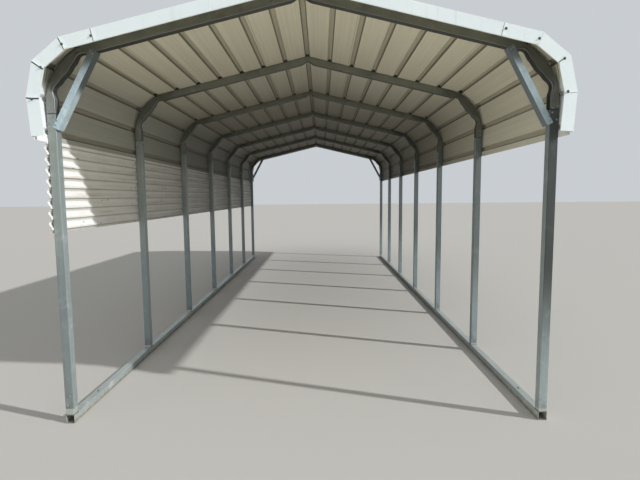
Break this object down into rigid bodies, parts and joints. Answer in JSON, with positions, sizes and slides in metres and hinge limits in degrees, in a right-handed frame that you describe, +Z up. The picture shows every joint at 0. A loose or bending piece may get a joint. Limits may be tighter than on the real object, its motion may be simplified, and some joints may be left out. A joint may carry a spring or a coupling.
{
  "type": "steel tube carport",
  "caption": "Open steel tube carport with a rounded-eave ribbed sheet roof, post and bow frames on base rails, knee braces, folded end trim and one corrugated side band.",
  "frame": {"origin": "centre of the plan, on the ground under the base rails", "axes": "+Z up, +Y along the length from the front end to the back end, +X to the right as seen from the front; the left side carries the corrugated band"},
  "size_m": [3.6594, 9.5096, 3.1097],
  "materials": {
    "galvanised": "galvanised, dull grey with faint spangle",
    "white_sheet": "white coil-coated sheet, semi-gloss",
    "white_trim": "white coil-coated trim, semi-gloss"
  },
  "bodies": {
    "root": {"base_rail_left": "galvanised", "base_rail_right": "galvanised", "post_left_1": "galvanised", "post_left_2": "galvanised", "post_left_3": "galvanised", "post_left_4": "galvanised", "post_left_5": "galvanised", "post_left_6": "galvanised", "post_left_7": "galvanised", "post_right_1": "galvanised", "post_right_2": "galvanised", "post_right_3": "galvanised", "post_right_4": "galvanised", "post_right_5": "galvanised", "post_right_6": "galvanised", "post_right_7": "galvanised", "bow_1": "galvanised", "bow_2": "galvanised", "bow_3": "galvanised", "bow_4": "galvanised", "bow_5": "galvanised", "bow_6": "galvanised", "bow_7": "galvanised", "brace_front_left": "galvanised", "brace_front_right": "galvanised", "brace_back_left": "galvanised", "brace_back_right": "galvanised", "roof_eave_left": "white_sheet", "roof_slope_left": "white_sheet", "roof_ridge": "white_sheet", "roof_slope_right": "white_sheet", "roof_eave_right": "white_sheet", "trim_front_left": "white_trim", "trim_front_ridge": "white_trim", "trim_front_right": "white_trim", "trim_back_left": "white_trim", "trim_back_ridge": "white_trim", "trim_back_right": "white_trim", "wall_sheet_left_1": "white_sheet", "wall_sheet_left_2": "white_sheet", "wall_sheet_left_3": "white_sheet", "wall_sheet_left_4": "white_sheet"}
  },
  "joints": []
}
